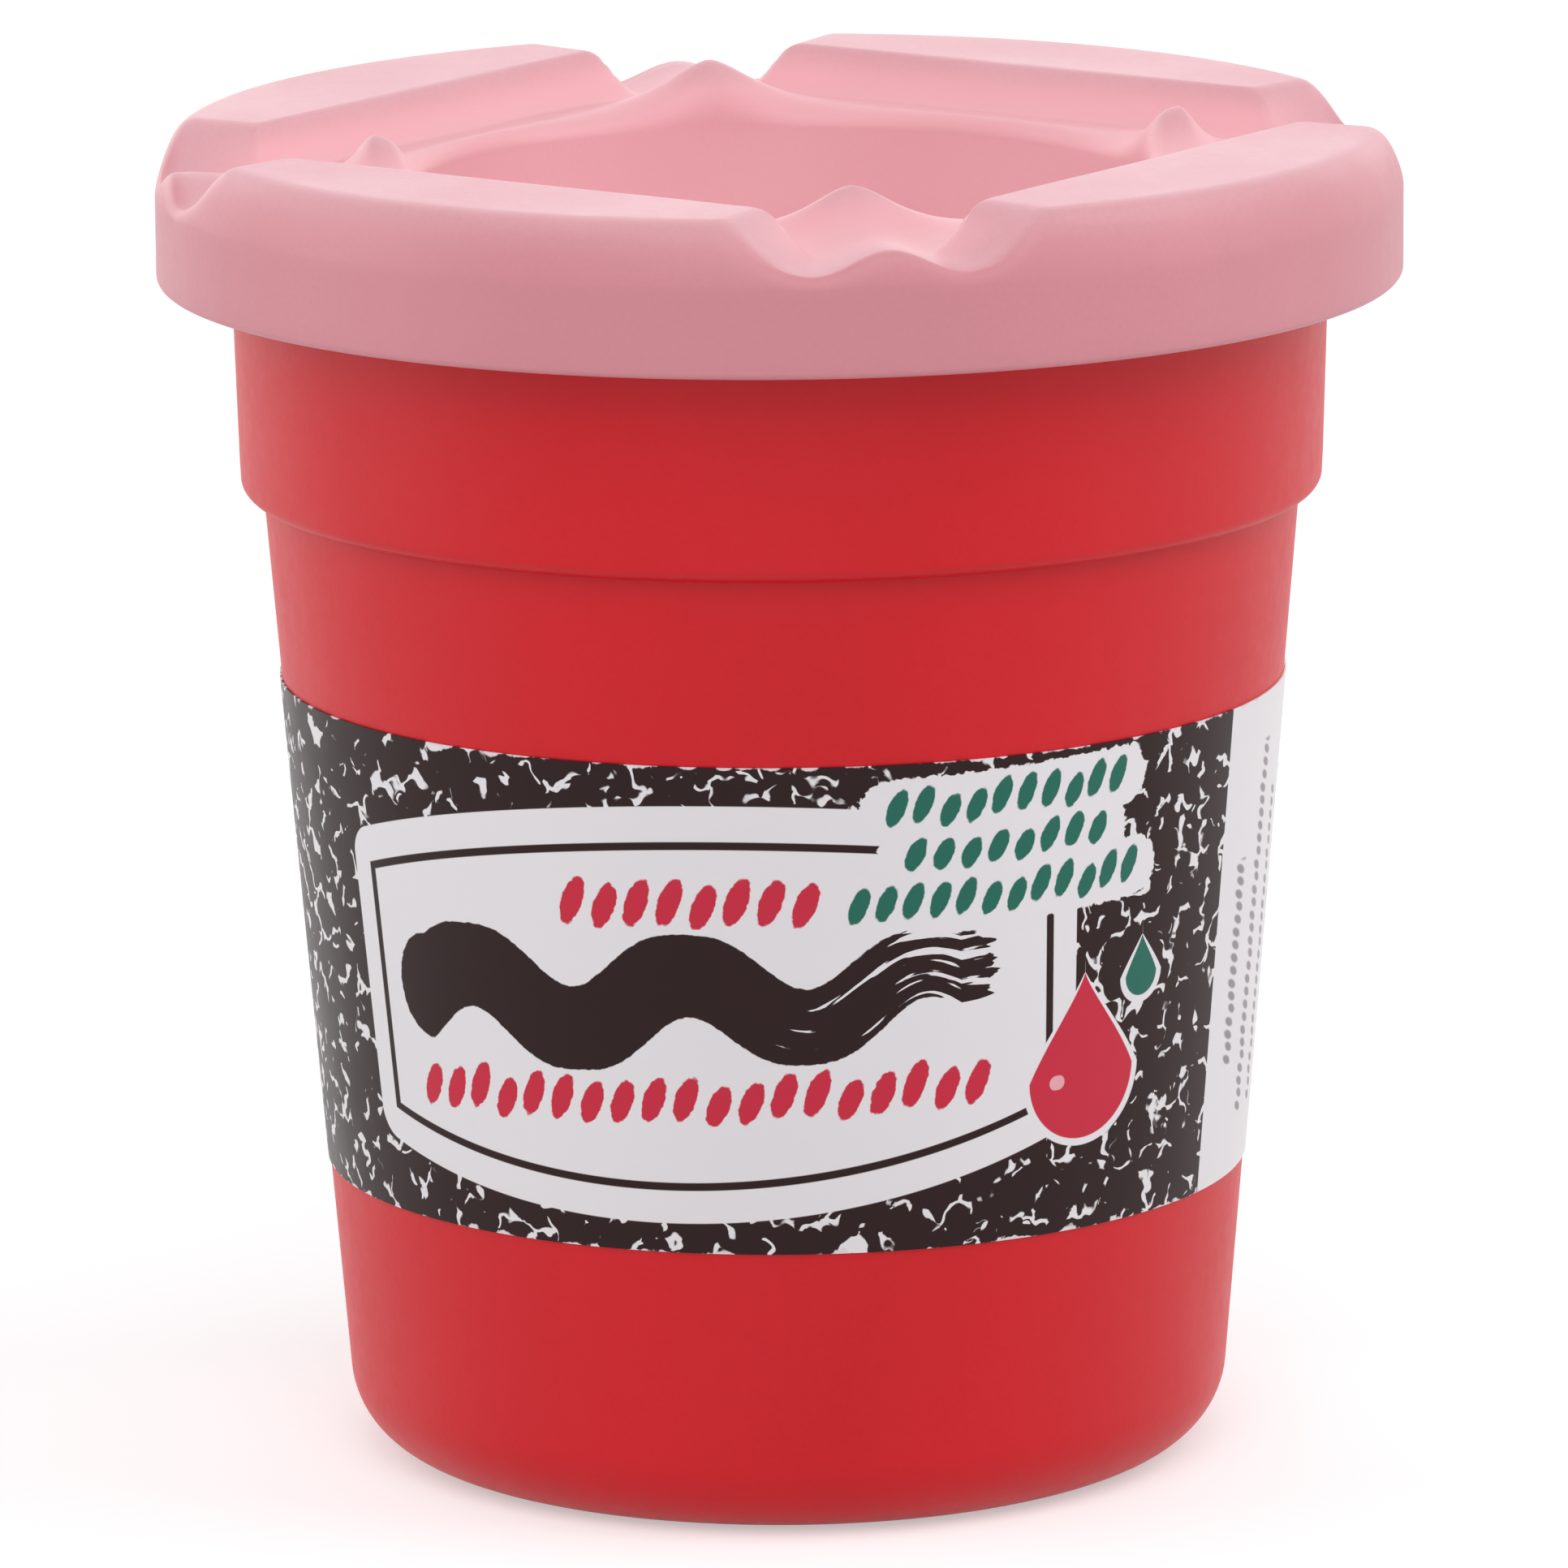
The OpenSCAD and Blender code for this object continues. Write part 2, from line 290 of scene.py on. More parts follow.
def bump(height, distance):
    """The way a surface faces once a fine relief of so many millimetres is pressed into it."""
    node = height.tree.nodes.new("ShaderNodeBump")
    node.inputs["Strength"].default_value = 1
    node.inputs["Distance"].default_value = distance * MM
    plug(height.tree, height, node.inputs["Height"])
    return Field(height.tree, node.outputs["Normal"])


print("materials: one shader each, with relief in millimetres")

# %% Mix a moulded plastic
flow_size, grain_size, pore_size = 14, 0.34, 1.1
grain_depth = 0.014


def moulded_plastic(name, colour, deep, gloss_wall, crown=None, hollow=None):
    """Matte plastic in one colour drifting deeper; painted light on crown and hollows if given.
    """
    material, tree, shader = new_material(name)
    place = place_on_piece(tree)
    flow = noise(shifted(place, (0, 0, 0), (1, 1, 0.45)), flow_size, detail=3)
    grain = noise(place, grain_size, detail=2)
    pores = noise(place, pore_size, detail=1)
    drift = ((flow - 0.5) * 1.6 + (grain - 0.5) * 0.9 + 0.45).within(0, 1)
    base = blend(drift, colour, deep)
    # Painted light: a paler crown for top light, paler and warmer hollows for a bounced glow.
    if crown:
        x, y, height = parts(place)
        from_rim = length_of(x, y) - lid_r
        painted_top_light_mask = (from_rim + 1.0).inside(1.0)
        painted_glow_within_bevel = (from_rim + 4.5).inside(2.5)
        painted_glow_below_top = (height - (crown_top - 1.1)).inside(0.9)
        base = blend(painted_top_light_mask * (1 - drift * 0.4), base, crown)
        # Painted glow: walls, notches and funnel below the tops take the paler, warmer hollow
        # colour.
        base = blend(painted_glow_within_bevel * painted_glow_below_top, base, hollow)
    tree.links.new(base.socket, shader.inputs["Base Color"])
    sheen = (flow - 0.5) * 0.12 + (pores - 0.5) * 0.10 + gloss_wall
    tree.links.new(sheen.socket, shader.inputs["Roughness"])
    shader.inputs["Specular IOR Level"].default_value = 0.42
    relief = bump(grain * 0.7 + pores * 0.3, grain_depth)
    tree.links.new(relief.socket, shader.inputs["Normal"])
    return material


cup_red = moulded_plastic("cup_red", (0.68, 0.001, 0.009, 1), (0.62, 0.001, 0.007, 1), 0.45)
# Painted light on the lid: crown is a painted top light, hollow a painted glow in the hollows.
lid_pink = moulded_plastic("lid_pink", (0.71, 0.275, 0.318, 1), (0.67, 0.255, 0.296, 1), 0.44,
                           crown=(0.80, 0.425, 0.475, 1), hollow=(0.905, 0.460, 0.508, 1))
print("plastics:", cup_red.name, lid_pink.name)

# %% [markdown]
# ## Sections and skins
# A designer draws each moulding as a section: half of the shape that a saw would show. Spinning
# that section about the axis gives the cup. The lid's section changes with the angle, because of
# its notches, but it has the same number of points at every angle. So both are the same job: a
# skin of columns and rings. Building it in code gives clean four-sided faces and exact sizes.


# %% Build a skin from columns of points
def arc(centre, radius, start, end, steps):
    """Points of an arc about a centre, between two angles in degrees."""
    turns = np.radians(np.linspace(start, end, steps + 1))
    return [(centre[0] + radius * math.cos(t), centre[1] + radius * math.sin(t)) for t in turns]


def make_piece(name, points, faces, material, smooth_below):
    """A mesh object from points in millimetres, with edges sharper than an angle kept crisp."""
    mesh = bpy.data.meshes.new(name)
    mesh.from_pydata((np.asarray(points) * MM).tolist(), [], faces)
    mesh.polygons.foreach_set("use_smooth", [True] * len(mesh.polygons))
    mesh.set_sharp_from_angle(angle=math.radians(smooth_below))
    mesh.materials.append(material)
    piece = bpy.data.objects.new(name, mesh)
    bpy.context.scene.collection.objects.link(piece)
    print(f"{name}: {len(mesh.vertices)} points, {len(mesh.polygons)} faces")
    return piece


def spun_points(radii, heights, angles):
    """Points of every column: radii and heights are (columns, rings) arrays."""
    x = radii * np.cos(angles)[:, None]
    y = radii * np.sin(angles)[:, None]
    return np.stack([x, y, heights], -1).reshape(-1, 3)


def skin_faces(columns, rings, close_columns, close_rings):
    """Four-sided faces between neighbouring columns, facing out for a section drawn upwards."""
    faces = []
    for c in range(columns if close_columns else columns - 1):
        here, there = c * rings, (c + 1) % columns * rings
        for r in range(rings if close_rings else rings - 1):
            up = (r + 1) % rings
            faces.append((here + r, there + r, there + up, here + up))
    return faces


print("skins: columns of points, joined by four-sided faces")

# %% [markdown]
# ## The cup
# The cup is a thin beaker. Its side tapers so that cups stack, a shoulder stops a stack from
# jamming, and the rim turns out to stiffen the mouth and to catch the lid's bead. It stands on a
# narrow ring round a shallow hollow, which can't rock. The section runs from the hollow's middle
# round the outside and back down the inside to the middle of the floor. A fine ridge under the
# shoulder is the line where the mould parts, and the dimple under the foot is where the melt
# came in.

# %% Name the cup's sizes
base_r = 26.7
side_draft = 4.76
band_draft = 1.7
wall = 1.5
floor_top = 2.4
base_round = 5.3
foot_width = 3.2
foot_recess = 0.8
shoulder_z = 60
shoulder_step = 1.35
shoulder_round = 0.8
rim_overhang = 2.34
rim_thickness = 1.8
rim_round = 0.5
side_slope = math.tan(math.radians(side_draft))
band_slope = math.tan(math.radians(band_draft))


def side_r(z):
    return base_r + side_slope * z


band_r = side_r(shoulder_z) + shoulder_step


def outer_band_r(z):
    return band_r + band_slope * (z - shoulder_z)


print(f"side: radius {base_r} mm at the ground, {side_r(shoulder_z):.2f} mm under the shoulder")


# %% Draw the cup's section
def cup_section():
    slant = math.cos(math.radians(side_draft))
    foot_r = side_r(base_round) - base_round / slant
    recess_r = foot_r - foot_width
    hollow_r = recess_r - 1.5 * foot_recess
    hollow_edge, foot_edge, neck_round, step_round = 0.4, 0.25, 0.6, 1.2
    under_rim = cup_height - rim_thickness
    neck_r = rim_r - rim_overhang
    gate_r, gate_depth = 1.3, 0.3
    parting, parting_r = 0.07, band_r - shoulder_round + 0.05
    inside_round = base_round - wall
    inside_r = base_r - wall / slant
    floor_r = inside_r + side_slope * (floor_top + inside_round) - inside_round / slant
    outside = [
        (0, foot_recess - gate_depth), (gate_r - 0.3, foot_recess - gate_depth),
        (gate_r, foot_recess), (hollow_r, foot_recess),
        *arc((hollow_r, foot_recess - hollow_edge), hollow_edge, 90, 45, 4),
        *arc((recess_r + foot_edge, foot_edge), foot_edge, 180, 270, 4),
        *arc((foot_r, base_round), base_round, -90, -side_draft, 20),
        *[(side_r(z), z) for z in np.linspace(base_round + 3, shoulder_z - 0.5, 14)],
        (side_r(shoulder_z) - 0.02, shoulder_z - 0.12), (side_r(shoulder_z) + 0.12, shoulder_z),
        *arc((parting_r, shoulder_z), parting, 180, 330, 5),
        *arc((band_r - shoulder_round, shoulder_z + shoulder_round), shoulder_round, -76, 0, 9),
        *[(outer_band_r(z), z) for z in np.linspace(shoulder_z + 2, under_rim - 0.9, 6)],
        *arc((neck_r + neck_round, under_rim - neck_round), neck_round, 180, 90, 5),
        *arc((rim_r - rim_round, under_rim + rim_round), rim_round, -90, 0, 6),
    ]
    mouth_r = outer_band_r(cup_height) - wall
    step_z = shoulder_z + wall
    step_r = outer_band_r(step_z) - wall
    inside = [
        *arc((rim_r - rim_round, cup_height - rim_round), rim_round, 0, 90, 6),
        *arc((mouth_r + rim_round, cup_height - rim_round), rim_round, 90, 180, 6),
        *[(outer_band_r(z) - wall, z) for z in np.linspace(cup_height - 3, step_z + 2, 5)],
        *arc((step_r - step_round, step_z + 1.3), step_round, 0, -35, 4),
        *[(side_r(z) - wall / slant, z) for z in np.linspace(step_z - 0.4, 12, 12)],
        *arc((floor_r, floor_top + inside_round), inside_round, -side_draft, -90, 14),
        (8, floor_top), (0, floor_top),
    ]
    return outside + inside


section = cup_section()
print(f"cup section: {len(section)} points, widest {max(r for r, z in section):.2f} mm")

# %% [markdown]
# A spun section that reaches the axis needs care: a ring of points with no radius would leave
# needle faces. The two points on the axis are therefore single points, each with a fan of
# three-sided faces round it.


# %% Spin the cup
def spin(name, section, columns, material, smooth_below):
    """A closed lathe shape whose section starts and ends on the axis."""
    rings = section[1:-1]
    angles = np.linspace(0, 2 * math.pi, columns, endpoint=False)
    radii = np.tile([r for r, z in rings], (columns, 1))
    heights = np.tile([z for r, z in rings], (columns, 1))
    points = spun_points(radii, heights, angles).tolist()
    faces = skin_faces(columns, len(rings), True, False)
    first, last = len(points), len(points) + 1
    points += [(0, 0, section[0][1]), (0, 0, section[-1][1])]
    for c in range(columns):
        here, there = c * len(rings), (c + 1) % columns * len(rings)
        faces.append((first, there, here))
        faces.append((last, here + len(rings) - 1, there + len(rings) - 1))
    return make_piece(name, points, faces, material, smooth_below)


cup = spin("cup_moulding", section, 360, cup_red, 40)
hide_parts("cup")
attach(cup, "cup")

# %% [markdown]
# ## The lid
# The lid is the clever piece. Its plug ring fills the cup's mouth, its skirt snaps over the rim,
# and its middle dips as a funnel, so a cup that falls over keeps its paint. Four raised segments
# stand round the funnel. Between each two lies a notch with two round-bottomed channels, in
# which brush handles rest, and the ridge between them runs inwards to a soft peak.
#
# Carving this with cutters would leave hard seams where the real one flows. Here the crown is a
# height above the channel floor at each point of the plan, made of a few simple hills that are
# joined by smooth highest-of and lowest-of rules.

# %% Name the lid's sizes
skirt_drop = 4.3          # from the cup's rim down to the skirt's edge
deck_thickness = 1.7      # from the cup's rim up to the channel floor
plug_length = 6.3
plug_wall = 1.3
lid_turn = 10             # degrees from the front to the nearest notch
rim_play = 0.55
bead_play = 0.2
plug_play = 0.3
skirt_bottom = cup_height - skirt_drop
skirt_in_r = rim_r + rim_play
plug_bottom = cup_height - plug_length
plug_r = outer_band_r(plug_bottom) - wall - plug_play
channel_z = cup_height + deck_thickness
print(f"plug ring radius {plug_r:.2f} mm, channel floor at {channel_z:.2f} mm")

# %% Name the crown's sizes
segment_rise = 3.3        # a segment's top above the channel floor
recess_width = 3.15       # from the funnel's edge to a segment's straight wall
recess_run = 3.1          # how far that wall slopes in
channel_off = 4.6         # a channel's middle from the middle of its notch
notch_inner = 6.1         # half of a notch at its inner corners
notch_outer = 10.2        # and at the rim
inner_foot = 3.0          # where the notch wall starts to rise, inside
outer_foot = 4.5          # and at the rim
ridge_rise = 1.4          # the ridge between two channels, at the rim
saddle_rise = 1.0         # and before the peak
ledge_rise = 0.4          # the low ledge round the funnel
ledge_run = 5.0
peak_rise = 3.35
peak_spread = 3.8         # reach of a peak along the funnel's edge
peak_length = 1.5         # and outwards
bevel_width = 2.3
bevel_start = 1.1
bevel_swell = 1.4
bevel_top_power, bevel_side_power = 1.7, 1.3
bevel_soft = 1.6          # these three round the corners where two slopes meet
corner_soft = 0.8
top_soft = 1.5
print(f"segments rise {segment_rise} mm, peaks {peak_rise} mm, ridges {ridge_rise} mm")

# %% Name the funnel's sizes
lip_r = 23.2
mouth_bulge = 1.7
cone_r = 22.4
funnel_wall = 1.5
throat = next(m for m in frame["record"]["mounts"] if m["name"] == "funnel_throat")
throat_r = throat["dims"]["r_mm"]
throat_top = throat_bottom + throat["dims"]["length_mm"]

bevel_in_r = lid_r - bevel_width
chord = lip_r + recess_width
corner_along = chord * math.sqrt(2) - notch_inner
notch_length = lid_r - 1.3 - corner_along
print(f"throat radius {throat_r:.1f} mm, from {throat_bottom:.1f} to {throat_top:.1f} mm")


# %% Join heights softly
def soft_min(a, b, k):
    """The lower of two heights, with the corner between them rounded over k."""
    h = np.maximum(k - np.abs(a - b), 0) / k
    return np.minimum(a, b) - h * h * k / 4


def join_max(a, b):
    """The higher of two heights, which flow into each other where they are alike."""
    return (a**2.5 + b**2.5) ** 0.4


print(f"two slopes that meet at 3 mm, joined over 1 mm: {soft_min(3.0, 3.0, 1.0):.2f} mm")


# %% Find the crown's lines in plan
def edge_r(a):
    """Radius of the funnel's edge, at an angle from the nearest notch."""
    return lip_r + mouth_bulge * (1 + np.cos(4 * a)) / 2


def chord_r(a):
    """Radius of the straight inner edge of a segment."""
    return np.minimum(chord / np.cos(math.pi / 4 - np.abs(a)), bevel_in_r - 0.4)


def out_share(along):
    """0 at the inner corners of a notch, 1 at the rim."""
    return np.clip((along - corner_along) / notch_length, 0, 1)


def notch_half(along):
    return notch_inner + (notch_outer - notch_inner) * out_share(along)


print(f"funnel's edge: {edge_r(0):.1f} mm out at a notch, {edge_r(math.pi / 4):.1f} mm between")


# %% Raise the segments and the ridges
def segment_height(along, across):
    """A raised segment, from its straight wall and its notch wall.

    The notch wall is an even slope at the inner corner, and grows hollow towards the rim.
    """
    inwards = (along + across) / math.sqrt(2) - chord
    straight = segment_rise * np.maximum(0, 1 + inwards / recess_run) ** 3
    out = out_share(along)
    foot = inner_foot + (outer_foot - inner_foot) * out
    across_share = (across - foot) / (notch_half(along) - foot)
    side = segment_rise * np.maximum(0, across_share) ** (1.2 + 0.7 * out)
    walls = soft_min(straight, side, corner_soft)
    return np.maximum(0, soft_min(walls, segment_rise, top_soft))


def ridge_height(along, across):
    """The ridge between the two channels, which sags before the peak."""
    out = np.clip((along - corner_along) / (bevel_in_r - corner_along), 0, 1)
    crest = saddle_rise + (ridge_rise - saddle_rise) * out
    hump = (1 + np.cos(math.pi * across / channel_off)) / 2
    return np.where(across < channel_off, crest * hump, 0)


print(f"a notch is {2 * notch_half(lid_r):.1f} mm wide at the rim")


# %% Raise the peaks and trim with the bevel
def lip_height(r, a):
    """The ledge round the funnel, and the peak that stands on it at each notch."""
    outwards = np.maximum(0, r - edge_r(a))
    away = np.hypot(np.hypot(r * a / peak_spread, outwards / peak_length), 0.055) - 0.055
    ledge = ledge_rise * np.exp(-(outwards / ledge_run) ** 2)
    return ledge + (peak_rise - ledge_rise) * np.exp(-away**1.3)


def bevel_height(r):
    """The rounded bevel that runs right round the crown."""
    out = np.clip((r - bevel_in_r) / bevel_width, 0, 1)
    swell = (segment_rise + bevel_swell) * (1 - out**bevel_top_power) ** (1 / bevel_side_power)
    return bevel_start - deck_thickness + swell


def crown_z(r, a):
    along, across = r * np.cos(a), r * np.abs(np.sin(a))
    rest = join_max(ridge_height(along, across), lip_height(r, a))
    height = join_max(segment_height(along, across), rest)
    return channel_z + soft_min(height, bevel_height(r), bevel_soft)


peak_z = float(crown_z(edge_r(np.zeros(1)), np.zeros(1))[0])
print(f"peaks at {peak_z:.2f} mm, segments at {channel_z + segment_rise:.2f} mm")

# %% [markdown]
# ### The lid's hidden side
# A moulding cools evenly only if its walls are even, so the thick segments are hollow below.
# The pose with the lid lifted shows this side, so it gets its pockets, the plug ring and the
# bead. Like the crown it is a height at each point of the plan.

# %% Describe the underside
pocket_wall = 1.2
pocket_depth = 3.15
pocket_out_r = skirt_in_r - 0.7
pocket_soft = 0.5
ring_margin = 0.3


def under_z(r, a):
    """Height of the lid's underside, which rises into a pocket under each segment."""
    along, across = r * np.cos(a), r * np.abs(np.sin(a))
    from_chord = (along + across) / math.sqrt(2) - chord - pocket_wall
    from_notch = across - notch_half(along) - pocket_wall
    from_ring = np.abs(r - (plug_r - plug_wall / 2)) - plug_wall / 2 - ring_margin
    room = np.minimum(np.minimum(from_chord, from_notch), np.minimum(from_ring, pocket_out_r - r))
    t = np.clip(room / pocket_soft, 0, 1)
    return cup_height + pocket_depth * t * t * (3 - 2 * t)


cone_slope = (cone_r - throat_r) / (cup_height + 0.9 - throat_top)
cone_shift = funnel_wall * math.sqrt(1 + cone_slope**2)


def cone_at(z):
    """Inside radius of the funnel's cone."""
    return throat_r + cone_slope * (z - throat_top)


print(f"funnel: 1 in {1 / cone_slope:.1f}, wall {funnel_wall} mm")


# %% [markdown]
# ### One section for every angle
# Each column walks the same way round: up the skirt, over the bevel, across the segment, down to
# the funnel's edge, down the funnel, up its back, along the underside, round the plug ring, and
# down the inside of the skirt. The columns stand closer together across a notch, where the
# shape changes most.


# %% Walk over the crown
def crown_rings(a):
    """From the skirt over the bevel, the segment and the ledge, down to the funnel's cone."""
    rings = []
    for t in np.radians(np.linspace(0, 90, 15)):
        r = bevel_in_r + bevel_width * math.cos(t) ** (4 / 3)
        rings.append((r, crown_z(r, a)))
    for share in np.linspace(1, 0, 17)[1:]:
        r = chord_r(a) + (bevel_in_r - chord_r(a)) * share**1.4
        rings.append((r, crown_z(r, a)))
    for share in np.linspace(1, 0, 23)[1:]:
        r = edge_r(a) + (chord_r(a) - edge_r(a)) * share**1.2
        rings.append((r, crown_z(r, a)))
    lip_z = crown_z(edge_r(a), a)
    cone_top = cup_height + 0.7
    for t in np.radians(np.linspace(0, 90, 11)[1:]):
        r = edge_r(a) - (edge_r(a) - cone_at(cone_top)) * math.sin(t)
        rings.append((r, lip_z - (lip_z - cone_top) * (1 - math.cos(t))))
    return rings


print(f"crown: {len(crown_rings(np.zeros(1)))} rings")


# %% Walk down the funnel and up its back
def funnel_rings():
    throat_edge = 0.35
    out_r = throat_r + cone_shift
    back_r = cone_at(cup_height) + cone_shift
    return [
        *[(cone_at(z), z) for z in np.linspace(cup_height - 3, throat_top + 1.5, 8)],
        *[(throat_r + 0.1 * k, throat_top + 0.45 * k - 0.25) for k in (1.6, 0.6, 0)],
        *arc((throat_r + throat_edge, throat_bottom + throat_edge), throat_edge, 180, 270, 4),
        *arc((out_r - throat_edge, throat_bottom + throat_edge), throat_edge, -90, 0, 4),
        (out_r, throat_top - 0.3), (out_r + 0.08, throat_top + 0.3),
        *[(cone_at(z) + cone_shift, z) for z in np.linspace(throat_top + 3, cup_height - 2, 6)],
        (back_r + 0.05, cup_height - 0.55), (back_r + 0.3, cup_height - 0.15),
    ]


print(f"funnel: {len(funnel_rings())} rings")


# %% Walk under the lid
def underside_rings(a):
    """Out from the funnel's back: ceiling, plug ring, ceiling, snap bead and skirt."""
    bead_z = (skirt_bottom + cup_height - rim_thickness) / 2 - 0.1
    bead_depth = rim_play - bead_play
    plug_edge, plug_round, bead_half, skirt_edge = 0.3, 0.6, 0.6, 0.25
    in_r = plug_r - plug_wall
    back_r = cone_at(cup_height) + cone_shift
    rings = [(r, under_z(r, a)) for r in np.linspace(back_r + 0.8, in_r - 0.05, 26)]
    rings += [(in_r, cup_height - 0.3), (in_r, plug_bottom + plug_edge)]
    rings += arc((in_r + plug_edge, plug_bottom + plug_edge), plug_edge, 180, 270, 3)
    rings += arc((plug_r - plug_round, plug_bottom + plug_round), plug_round, -90, 0, 5)
    rings += [(plug_r, cup_height - 0.3)]
    rings += [(r, under_z(r, a)) for r in np.linspace(plug_r + 0.05, skirt_in_r - 0.05, 24)]
    rings += [(skirt_in_r, cup_height - 0.4)]
    for t in np.radians(np.linspace(90, -90, 9)):
        bead_r = skirt_in_r - bead_depth * math.cos(t) ** 1.4
        rings.append((bead_r, bead_z + bead_half * math.sin(t)))
    rings += arc((skirt_in_r + skirt_edge, skirt_bottom + skirt_edge), skirt_edge, 180, 270, 3)
    return rings


print(f"underside: {len(underside_rings(np.zeros(1)))} rings")


# %% Close the walk with the skirt
def skirt_rings():
    edge = 0.45
    return [
        *arc((lid_r - edge, skirt_bottom + edge), edge, -90, 0, 6),
        *[(lid_r, z) for z in (skirt_bottom + 1.6, skirt_bottom + 3.2, cup_height + 0.4)],
    ]


def ring(r, z, angles):
    """One ring of the skin, from numbers or from values per column."""
    return np.broadcast_to(r, angles.shape), np.broadcast_to(z, angles.shape)


half_columns = 84
fine_share = 0.66
fine_angle = math.radians(17)


def column_angle(i):
    """Angle of a column from the notch line, close together out to fine_angle."""
    share = abs(i) / half_columns
    fine = fine_angle * share / fine_share
    coarse = fine_angle + (math.pi / 4 - fine_angle) * (share - fine_share) / (1 - fine_share)
    return math.copysign(fine if share < fine_share else coarse, i)


local = np.array([column_angle(i) for i in range(-half_columns, half_columns)] * 4)
quarter = np.repeat(np.arange(4) * math.pi / 2, 2 * half_columns)
turn = math.radians(lid_turn - 90)
walk = skirt_rings() + crown_rings(local) + funnel_rings() + underside_rings(local)
walk = [ring(r, z, local) for r, z in walk]
radii = np.stack([r for r, z in walk], 1)
heights = np.stack([z for r, z in walk], 1)
print(f"lid: {len(local)} columns of {len(walk)} points")

# %% Skin the lid
points = spun_points(radii, heights, local + quarter + turn)
faces = skin_faces(len(local), len(walk), True, True)
lid = make_piece("lid_moulding", points, faces, lid_pink, 50)
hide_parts("lid")
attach(lid, "lid")

# %% [markdown]
# ## The label
# The label is a strip of printed film, 0.12 mm thick, wrapped round the sloping side with a
# narrow gap at the back. It is a real sleeve here, so its edge catches the light. A map in
# millimetres is laid over it: across from the middle of its white plate, and up from the ground.

# %% Wrap the sleeve
label_play = 0.02
label_wrap = math.radians(352)
gap_middle = math.radians(82)      # a little to the right of straight behind
label_columns = 440
arc_r = 29.5                       # the side's radius at the plate's middle
plate_turn = math.radians(-11.3)   # the plate's middle, to the left of the front

label_start = gap_middle + (2 * math.pi - label_wrap) / 2
label_angles = label_start + np.linspace(0, label_wrap, label_columns)
label_thickness = label_r - side_r(label_top) - label_play
bottom_r = side_r(label_bottom) + label_play
top_r = side_r(label_top) + label_play
print(f"label: {label_thickness:.3f} mm thick, {math.degrees(label_wrap):.0f} degrees round")

# %% Give the sleeve its faces and its flat map
around = [(bottom_r, label_bottom), (bottom_r + label_thickness, label_bottom)]
around += [(side_r(z) + label_play + label_thickness, z)
           for z in np.linspace(label_bottom, label_top, 8)[1:-1]]
around += [(top_r + label_thickness, label_top), (top_r, label_top)]
label_radii = np.tile([r for r, z in around], (label_columns, 1))
label_heights = np.tile([z for r, z in around], (label_columns, 1))
sleeve_points = spun_points(label_radii, label_heights, label_angles)
sleeve_faces = skin_faces(label_columns, len(around), False, True)
last = (label_columns - 1) * len(around)
sleeve_faces.append(tuple(range(len(around))))
sleeve_faces.append(tuple(last + r for r in reversed(range(len(around)))))
print(f"sleeve: {label_columns} columns of {len(around)} points")


def flat_map(piece, columns, rings, angles, heights):
    """A UV map in millimetres: along the arc from the plate's middle, and up from the ground."""
    front = math.radians(-90)
    across = (angles - 2 * math.pi - front - plate_turn) * arc_r
    layer = piece.data.uv_layers.new(name="LabelMap")
    places = np.stack([np.repeat(across, rings), heights.ravel()], 1)
    corners = np.empty(len(piece.data.loops), int)
    piece.data.loops.foreach_get("vertex_index", corners)
    layer.uv.foreach_set("vector", places[corners].astype(np.float32).ravel())
    print(f"label map: from {across.min():.1f} to {across.max():.1f} mm")


# %% [markdown]
# ## The print
# The film was printed flat, colour over colour: black marbling on white, a white plate with bowed
# edges and a fine border, paint marks on top, and a plain white panel at the side. It could be
# painted as a picture and laid on, but a picture blurs close up. Here each colour lies where a
# sum says so, and its edges stay sharp at any zoom.
#
# The marbling comes first. Its veins are the edges of a Voronoi pattern, bent by noise, swelling
# and thinning, and broken off where a second noise is low.


# %% Vein the marbled ground
vein_cell = 2.9


def voronoi_edge(place, cell):
    """Distance to the nearest edge of a cell pattern, in millimetres."""
    node = place.tree.nodes.new("ShaderNodeTexVoronoi")
    node.voronoi_dimensions = "2D"
    node.feature = "DISTANCE_TO_EDGE"
    plug(place.tree, place, node.inputs["Vector"])
    node.inputs["Scale"].default_value = 1 / cell
    return Field(place.tree, node.outputs["Distance"]) * cell


def marbling(place):
    """1 on a white vein or fleck, 0 on the black ground."""
    bent = warped(warped(place, 1.6, 2.2), 0.8, 0.6)
    swell = noise(shifted(place, (23, 41, 0)), 0.9, detail=1, flat=True)
    vein = voronoi_edge(bent, vein_cell) - (0.08 + 0.24 * swell)
    gaps = (0.51 - noise(shifted(place, (40, 7, 0)), 1.9, detail=1, flat=True)) * 4
    fleck = (0.76 - noise(shifted(bent, (11, 60, 0)), 1.0, detail=1, flat=True)) * 2.4
    return vein.most(gaps).least(fleck).inside(0.05)


print(f"marbling: broken veins round cells of {vein_cell} mm")

# %% [markdown]
# ### Marks as distances
# The marks are what a brush leaves: one sweep that runs dry, rows of dabs, and two drops. Each is
# a distance in millimetres that is below zero inside the ink. Taking the lower of two distances
# joins two marks, taking the higher keeps only where they overlap, and a little noise added to
# a distance roughens the mark's edge.


# %% Draw bars and drops
def any_of(marks):
    """Several marks as one."""
    joined, *others = marks
    for mark in others:
        joined = joined.least(mark)
    return joined


def capsule(x, y, left, right, middle, radius):
    """A bar with round ends."""
    return length_of(x - x.within(left, right), y - middle) - radius


def drop(x, y, across, up, radius, tip):
    """A paint drop: round below and pointed above."""
    right, above = x - across, y - up
    share = (above / tip).within(0, 0.999)
    narrow = (1 - share).do("POWER", 0.8)
    squeezed = above.least(above * (radius / tip))
    return length_of(right / narrow, squeezed) - radius


print("marks: capsule, drop")


